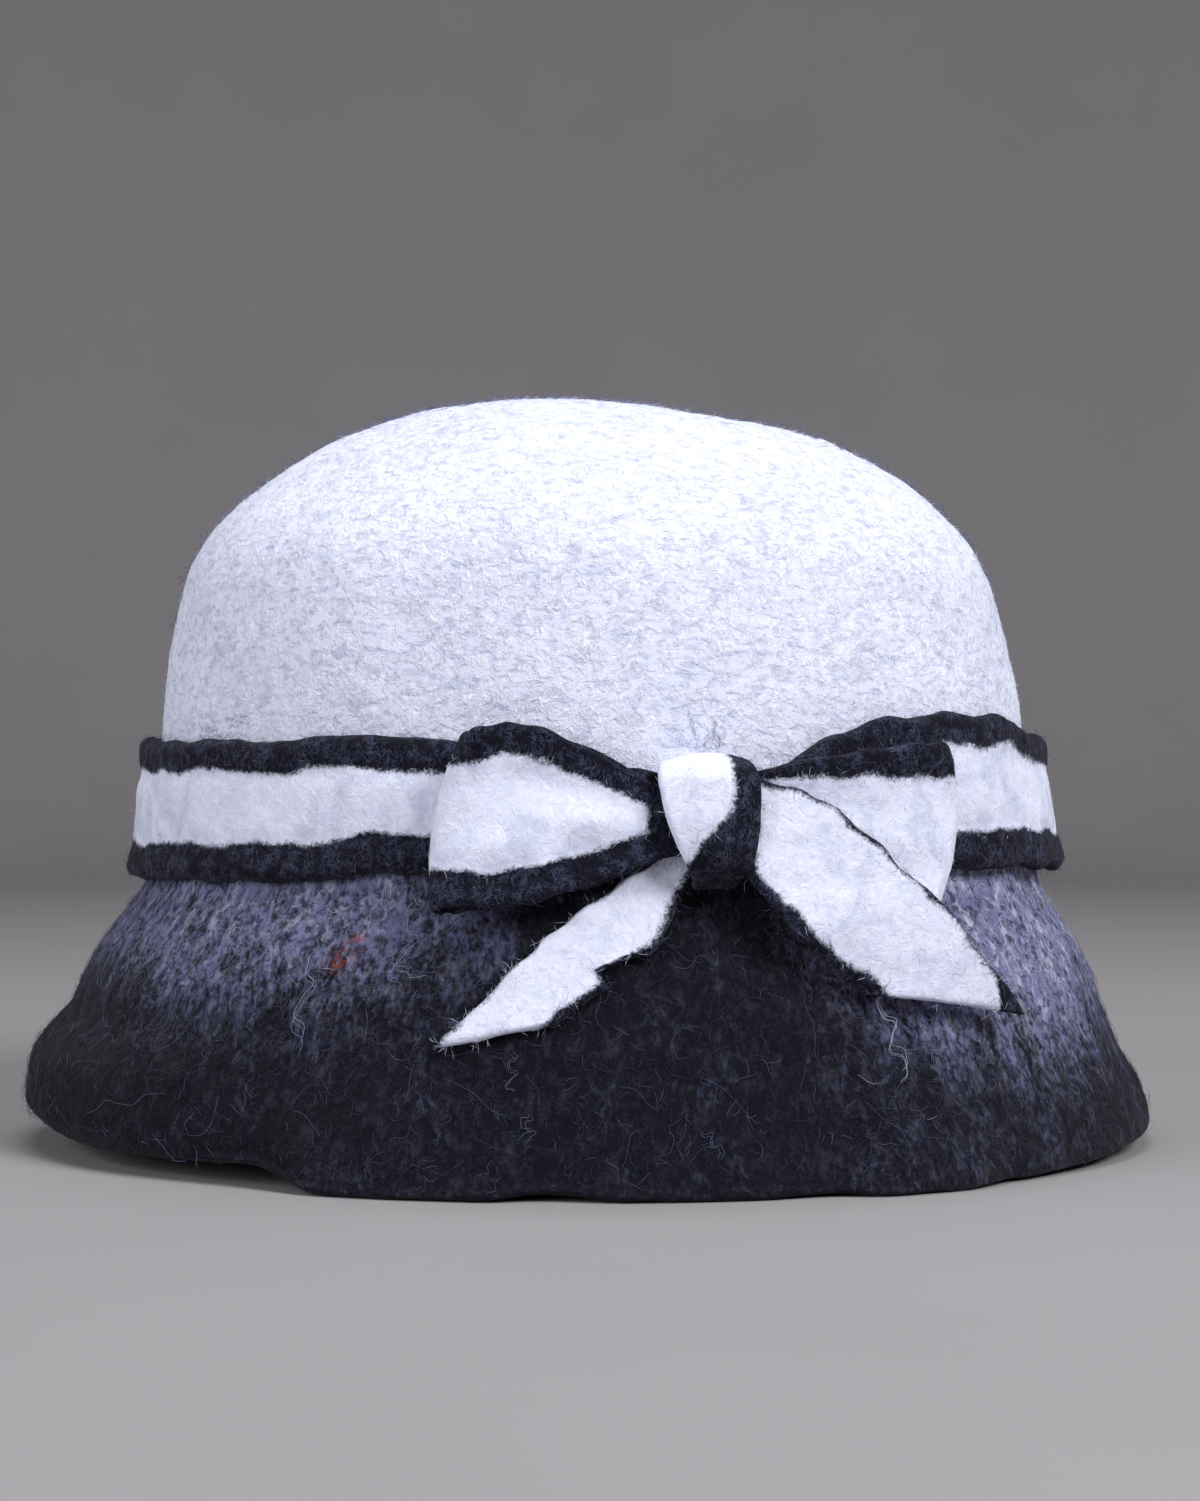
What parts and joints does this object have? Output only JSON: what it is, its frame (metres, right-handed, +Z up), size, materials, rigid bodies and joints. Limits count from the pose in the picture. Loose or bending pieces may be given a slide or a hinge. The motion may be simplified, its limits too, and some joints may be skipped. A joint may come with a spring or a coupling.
{
  "type": "cloche hat",
  "caption": "Felted cloche hat with a domed pale crown, a flared wavy brim, and a striped felt band tied in a flat bow at the side.",
  "frame": {"origin": "middle of the hat's outline on the surface it rests on, at the height of the hem", "axes": "+X towards the front of the hat, +Z up, the bow on the -Y side"},
  "size_m": [0.2686, 0.225, 0.1768],
  "materials": {
    "body_felt": "matt hand-felted wool, white crown blending through lavender grey into a near-black brim",
    "striped_felt": "matt felted wool strip, white with black borders"
  },
  "bodies": {
    "root": {"hat_body": "body_felt", "band": "striped_felt", "bow_left_loop": "striped_felt", "bow_right_loop": "striped_felt", "bow_knot": "striped_felt", "bow_left_tail": "striped_felt", "bow_right_tail": "striped_felt"}
  },
  "joints": []
}
